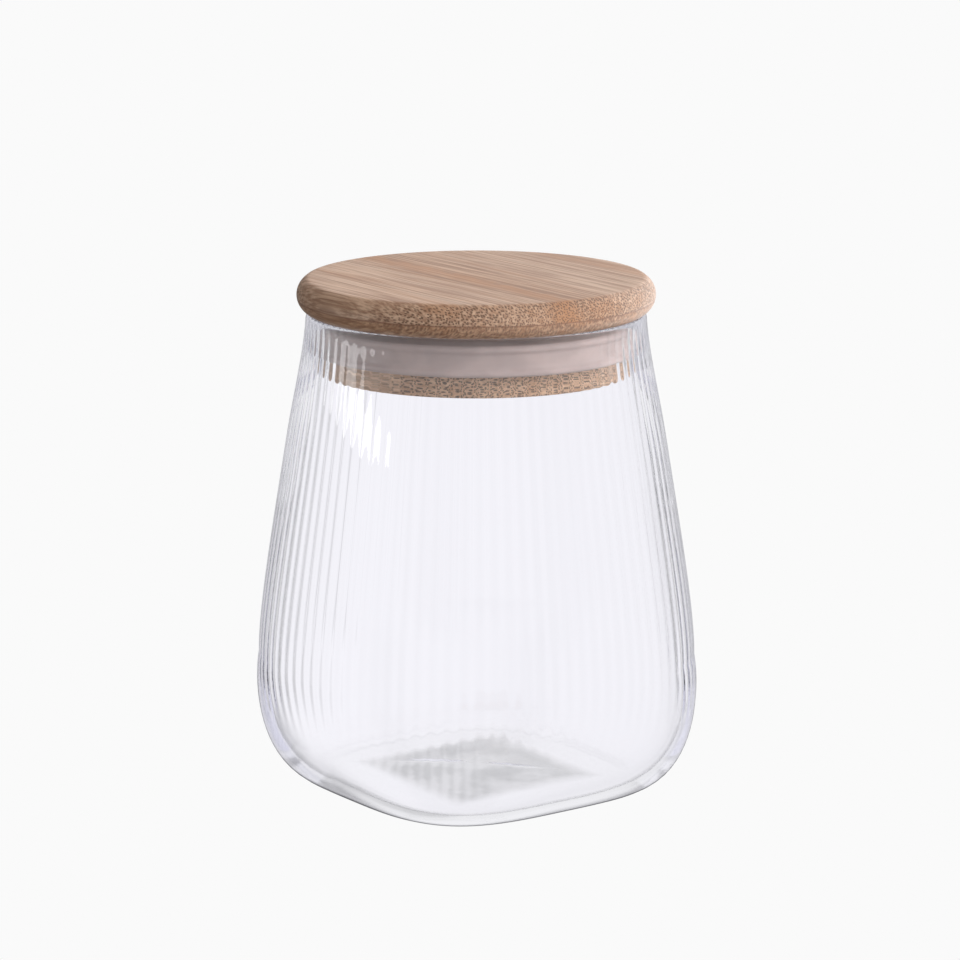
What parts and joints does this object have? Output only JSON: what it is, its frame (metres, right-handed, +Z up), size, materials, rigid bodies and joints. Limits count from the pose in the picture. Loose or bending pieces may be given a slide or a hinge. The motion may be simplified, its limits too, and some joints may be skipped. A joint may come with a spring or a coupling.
{
  "type": "lidded glass canister",
  "caption": "Ribbed glass jar with a rounded-square belly and a round mouth, closed by a turned bamboo plug lid with a soft sealing ring.",
  "frame": {"origin": "centre of the jar's foot, on the surface that it stands on", "axes": "+Z up along the axis of the mouth; the jar's flat sides face along X and Y, and the bamboo's grain runs along Y"},
  "size_m": [0.1198, 0.1198, 0.1457],
  "materials": {
    "clear_glass": "clear, pressed with upright flutes",
    "silicone": "translucent pinkish grey, satin",
    "bamboo_top": "caramelised bamboo, fine-sanded, light oil",
    "bamboo_ply": "caramelised bamboo, turned, light oil"
  },
  "bodies": {
    "jar": {"glass_jar": "clear_glass"},
    "ring": {"sealing_ring": "silicone"},
    "lid": {"top_strip_1": "bamboo_top", "top_strip_2": "bamboo_top", "top_strip_3": "bamboo_top", "top_strip_4": "bamboo_top", "top_strip_5": "bamboo_top", "cap_ply": "bamboo_ply", "plug_ply": "bamboo_ply", "flange_ply": "bamboo_ply"}
  },
  "joints": [
    {"name": "lid_lift", "type": "slide", "parent": "jar", "child": "ring", "axis": [0, 0, 1], "range_m": [0, 0.06]},
    {"name": "lid_turn", "type": "hinge", "parent": "ring", "child": "lid", "pos_m": [0, 0, 0.13], "axis": [0, 0, 1], "continuous": true}
  ]
}
